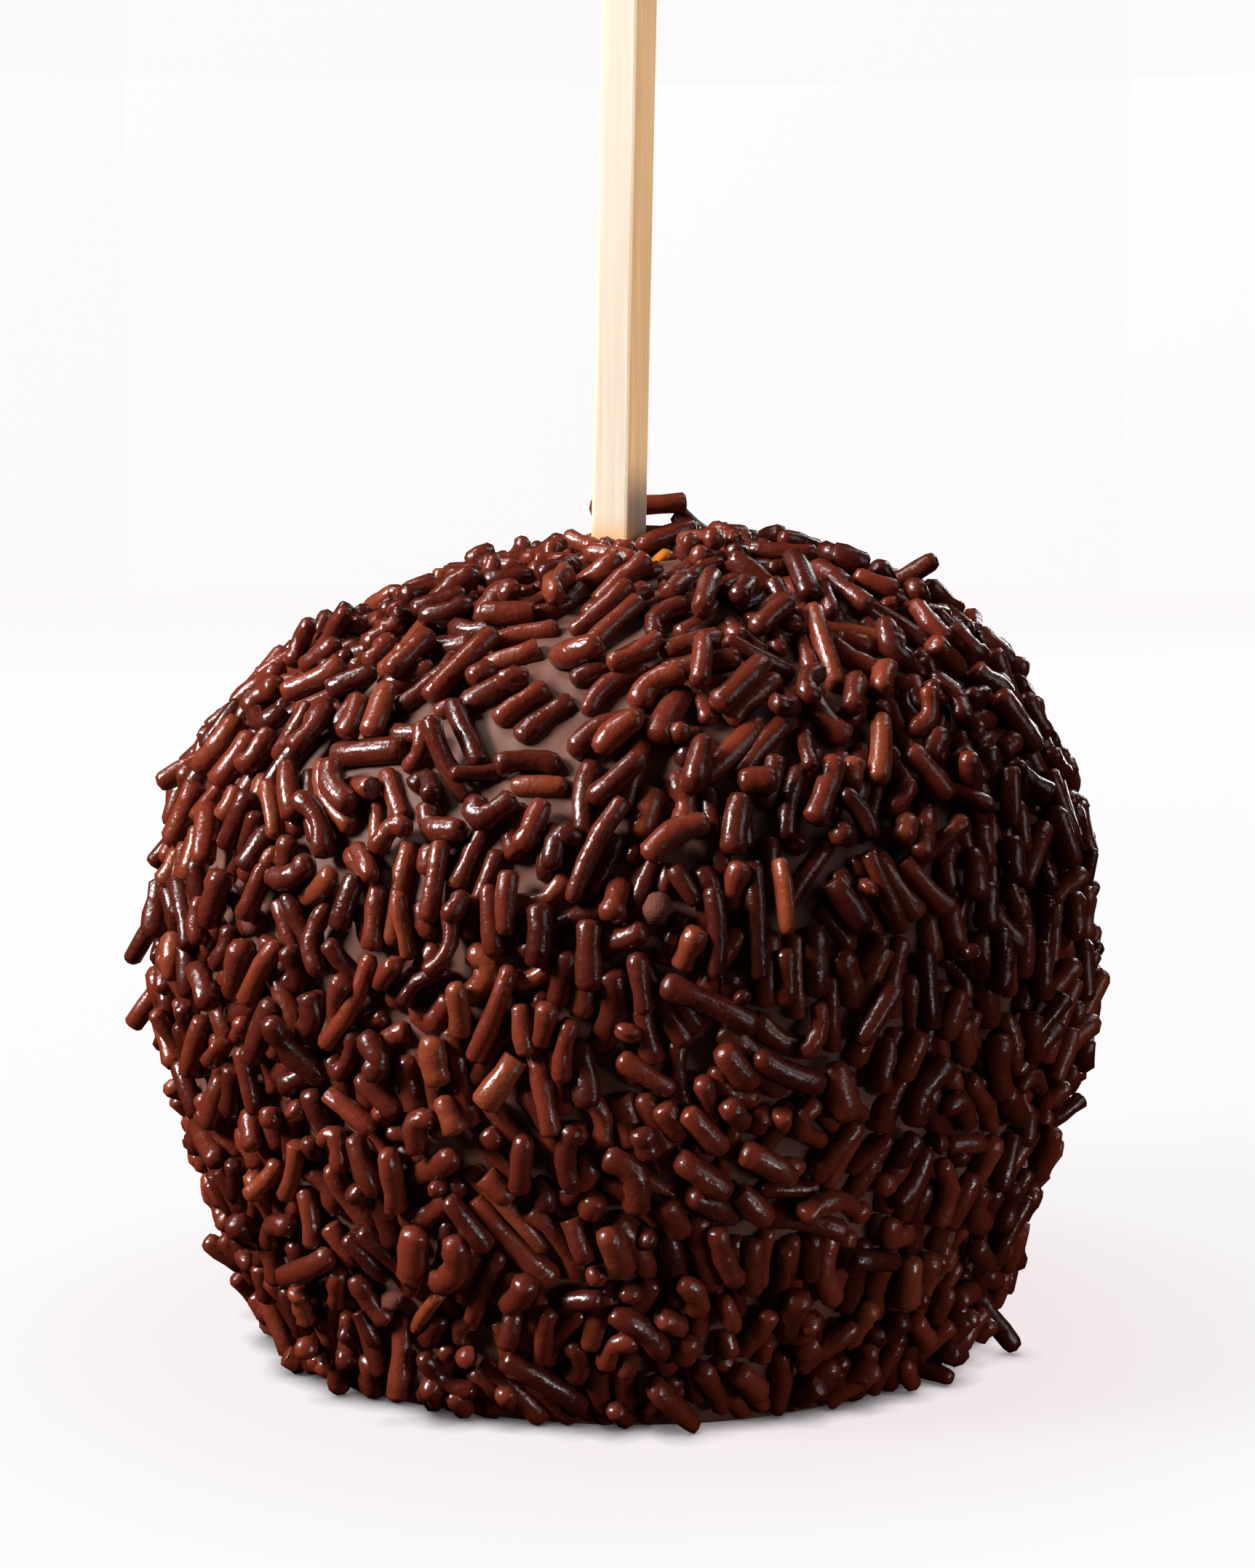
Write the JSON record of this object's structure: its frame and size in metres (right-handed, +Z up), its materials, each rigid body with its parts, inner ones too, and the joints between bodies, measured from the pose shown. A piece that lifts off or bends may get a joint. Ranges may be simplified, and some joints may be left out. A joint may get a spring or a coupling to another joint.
{
  "type": "dipped caramel and chocolate apple on a stick",
  "caption": "Whole apple dipped in caramel and milk chocolate, rolled in dark chocolate sprinkles, standing on its flat foot with a square wooden stick in its top.",
  "frame": {"origin": "centre of the flat foot, on the surface that the fruit stands on", "axes": "+Z up along the stick, -Y towards the viewer of the picture, +X to the viewer's right"},
  "size_m": [0.0938, 0.0917, 0.163],
  "materials": {
    "chocolate": "dark glazed sprinkles on satin milk chocolate",
    "caramel": "clear amber caramel, glossy",
    "wood": "bare sanded birch"
  },
  "bodies": {
    "root": {"coated_apple": "chocolate", "caramel_pool": "caramel", "wooden_stick": "wood"}
  },
  "joints": []
}
